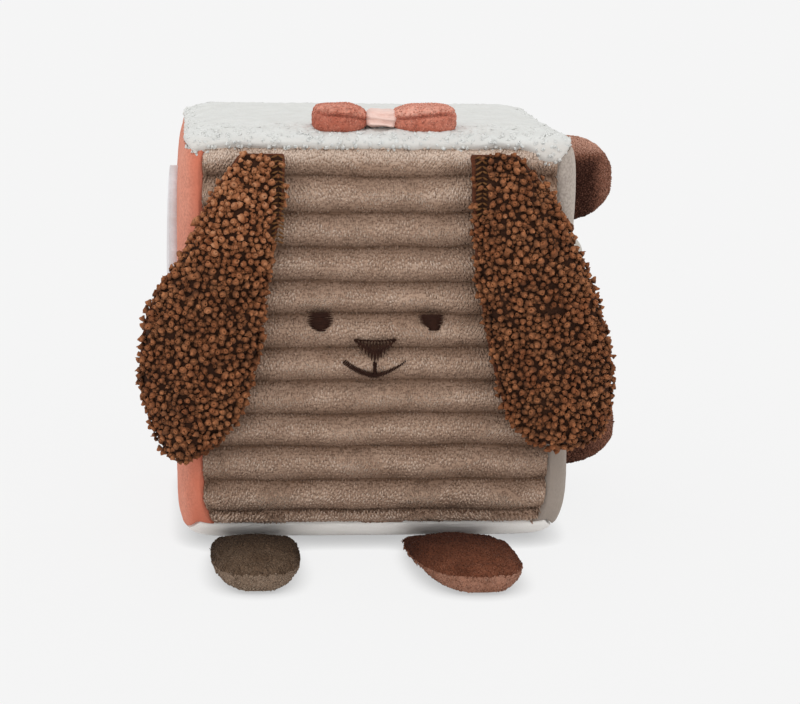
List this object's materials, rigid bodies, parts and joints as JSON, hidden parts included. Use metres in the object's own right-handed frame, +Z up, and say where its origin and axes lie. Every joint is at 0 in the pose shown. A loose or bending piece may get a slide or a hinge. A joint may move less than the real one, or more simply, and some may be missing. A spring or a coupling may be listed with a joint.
{
  "type": "soft fabric activity block",
  "caption": "Stuffed fabric cube for a baby with an embroidered dog face, flapping curly ears, soft feet, side tabs and a bow.",
  "frame": {"origin": "middle of the block's flat underside, where it stands on the floor", "axes": "+Z up, the dog's face looks to -Y, +X to the right as one looks at the face"},
  "size_m": [0.1627, 0.1589, 0.1402],
  "materials": {
    "ribbed_plush": "soft ribbed plush",
    "sherpa": "fluffy white sherpa pile",
    "coral_velour": "short velour pile",
    "grey_velour": "short velour pile",
    "back_velour": "short velour pile",
    "white_cotton": "smooth woven cloth",
    "curly_plush": "long curly loop pile",
    "brown_plush": "short plush",
    "taupe_plush": "short plush",
    "foam": "soft polyurethane foam",
    "stuffing": "polyester wadding",
    "crinkle_film": "thin crackling film",
    "rattle_plastic": "smooth moulded plastic",
    "bead_plastic": "smooth moulded plastic",
    "salmon_plush": "short plush",
    "satin": "glossy satin ribbon",
    "dark_thread": "satin-stitch embroidery thread",
    "pale_cloth": "smooth padded cloth",
    "white_cloth": "smooth padded cloth"
  },
  "bodies": {
    "block": {"front_panel": "ribbed_plush", "top_panel": "sherpa", "left_panel": "coral_velour", "right_panel": "grey_velour", "back_panel": "back_velour", "bottom_panel": "white_cotton", "foam_core": "foam", "foam_plug": "foam", "rattle_shell_back": "rattle_plastic", "rattle_shell_front": "rattle_plastic", "bow_loop_left": "salmon_plush", "bow_loop_right": "salmon_plush", "bow_knot": "satin", "left_eye_stitching": "dark_thread", "right_eye_stitching": "dark_thread", "nose_stitching": "dark_thread", "mouth_stitching": "dark_thread", "left_patch": "pale_cloth", "right_patch": "white_cloth"},
    "left_ear": {"left_ear_curly_cover": "curly_plush", "left_ear_lining": "brown_plush", "left_ear_crinkle_film": "crinkle_film"},
    "right_ear": {"right_ear_curly_cover": "curly_plush", "right_ear_lining": "brown_plush", "right_ear_crinkle_film": "crinkle_film"},
    "left_foot": {"left_foot_top": "taupe_plush", "left_foot_sole": "taupe_plush", "left_foot_filling": "stuffing"},
    "right_foot": {"right_foot_top": "brown_plush", "right_foot_sole": "brown_plush", "right_foot_filling": "stuffing"},
    "upper_tab": {"upper_tab_front": "brown_plush", "upper_tab_back": "brown_plush", "upper_tab_filling": "stuffing"},
    "lower_tab": {"lower_tab_front": "brown_plush", "lower_tab_back": "brown_plush", "lower_tab_filling": "stuffing"},
    "bead_1": {"rattle_bead_1": "bead_plastic"},
    "bead_2": {"rattle_bead_2": "bead_plastic"},
    "bead_3": {"rattle_bead_3": "bead_plastic"}
  },
  "joints": [
    {"name": "left_ear_flap", "type": "hinge", "parent": "block", "child": "left_ear", "pos_m": [-0.036, -0.05839, 0.12562], "axis": [-1, 0, 0], "range_deg": [0, 150]},
    {"name": "right_ear_flap", "type": "hinge", "parent": "block", "child": "right_ear", "pos_m": [0.0345, -0.05839, 0.12562], "axis": [-1, 0, 0], "range_deg": [0, 150]},
    {"name": "left_foot_bend", "type": "hinge", "parent": "block", "child": "left_foot", "pos_m": [-0.0378, -0.04537, 0.00255], "axis": [-1, 0, 0], "range_deg": [-75, 20]},
    {"name": "right_foot_bend", "type": "hinge", "parent": "block", "child": "right_foot", "pos_m": [0.0228, -0.04537, 0.00255], "axis": [-1, 0, 0], "range_deg": [-75, 20]},
    {"name": "upper_tab_swing", "type": "hinge", "parent": "block", "child": "upper_tab", "pos_m": [0.06335, 0.02, 0.1096], "axis": [0, 0, 1], "range_deg": [-60, 60]},
    {"name": "lower_tab_swing", "type": "hinge", "parent": "block", "child": "lower_tab", "pos_m": [0.06336, 0.02, 0.024], "axis": [0, 0, 1], "range_deg": [-60, 60]},
    {"name": "bead_1_roll", "type": "hinge", "parent": "block", "child": "bead_1", "pos_m": [0, 0, 0.06538], "axis": [0, 1, 0], "continuous": true},
    {"name": "bead_2_roll", "type": "hinge", "parent": "block", "child": "bead_2", "pos_m": [0, 0, 0.06538], "axis": [0, 1, 0], "continuous": true},
    {"name": "bead_3_roll", "type": "hinge", "parent": "block", "child": "bead_3", "pos_m": [0, 0, 0.06538], "axis": [0, 1, 0], "continuous": true}
  ]
}
